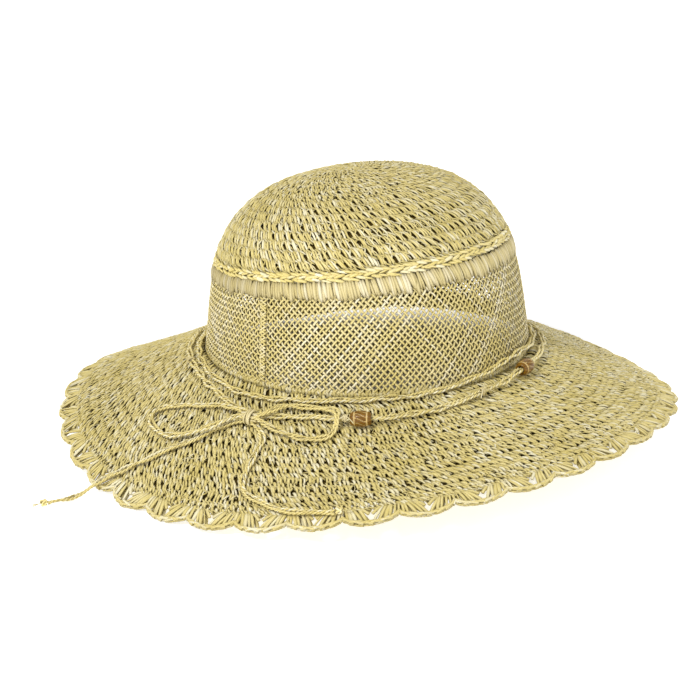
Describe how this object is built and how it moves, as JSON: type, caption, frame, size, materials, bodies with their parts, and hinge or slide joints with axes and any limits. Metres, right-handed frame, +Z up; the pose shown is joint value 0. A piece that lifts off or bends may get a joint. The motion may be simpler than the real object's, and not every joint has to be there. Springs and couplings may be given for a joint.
{
  "type": "sun hat",
  "caption": "Crocheted straw sun hat with a domed crown, open woven wall, wavy scalloped brim and a lift-off cord band tied in a bow with two loose beads.",
  "frame": {"origin": "centre of the hat's box, on the surface that the brim's edge rests on, with the loose bow cords left out", "axes": "+Z up through the crown; -Y is the side seen square on, with the bow on its -X side; +X is the brim's raised side"},
  "size_m": [0.353, 0.3542, 0.1484],
  "materials": {
    "crochet_straw": "matte raffia straw, crocheted in rounds",
    "woven_straw": "matte raffia straw, woven on the bias, open",
    "stitch_straw": "pale raffia straw with a slight sheen",
    "cord_straw": "twisted raffia cord, satin",
    "bead_wood": "carved wood, light lines in a reddish brown stain"
  },
  "bodies": {
    "hat": {"crown_top": "crochet_straw", "crown_chain": "stitch_straw", "join_stitching": "stitch_straw", "side_panel": "woven_straw", "side_seam": "woven_straw", "base_round": "crochet_straw", "brim": "crochet_straw", "scallop_edging": "crochet_straw"},
    "hatband": {"band_cord_upper": "cord_straw", "band_cord_lower": "cord_straw", "bow_knot": "stitch_straw", "bow_knot_wrap": "stitch_straw", "bow_loop_left": "cord_straw", "bow_loop_right": "cord_straw", "tail_left": "cord_straw", "tail_left_knot": "cord_straw", "tail_right": "cord_straw", "tail_right_knot": "cord_straw", "tie_left": "stitch_straw", "tie_front": "stitch_straw", "tie_right": "stitch_straw"},
    "bead_front": {"bead_front": "bead_wood"},
    "bead_right": {"bead_right": "bead_wood"}
  },
  "joints": [
    {"name": "band_lift", "type": "slide", "parent": "hat", "child": "hatband", "axis": [0, 0, 1], "range_m": [0, 0.13]},
    {"name": "bead_front_spin", "type": "hinge", "parent": "hatband", "child": "bead_front", "pos_m": [-0.00399, -0.11327, 0.04498], "axis": [0.9967, -0.0763, 0.0259], "continuous": true},
    {"name": "bead_right_spin", "type": "hinge", "parent": "hatband", "child": "bead_right", "pos_m": [0.08533, -0.05517, 0.04959], "axis": [0.5054, 0.8627, -0.0145], "continuous": true}
  ]
}
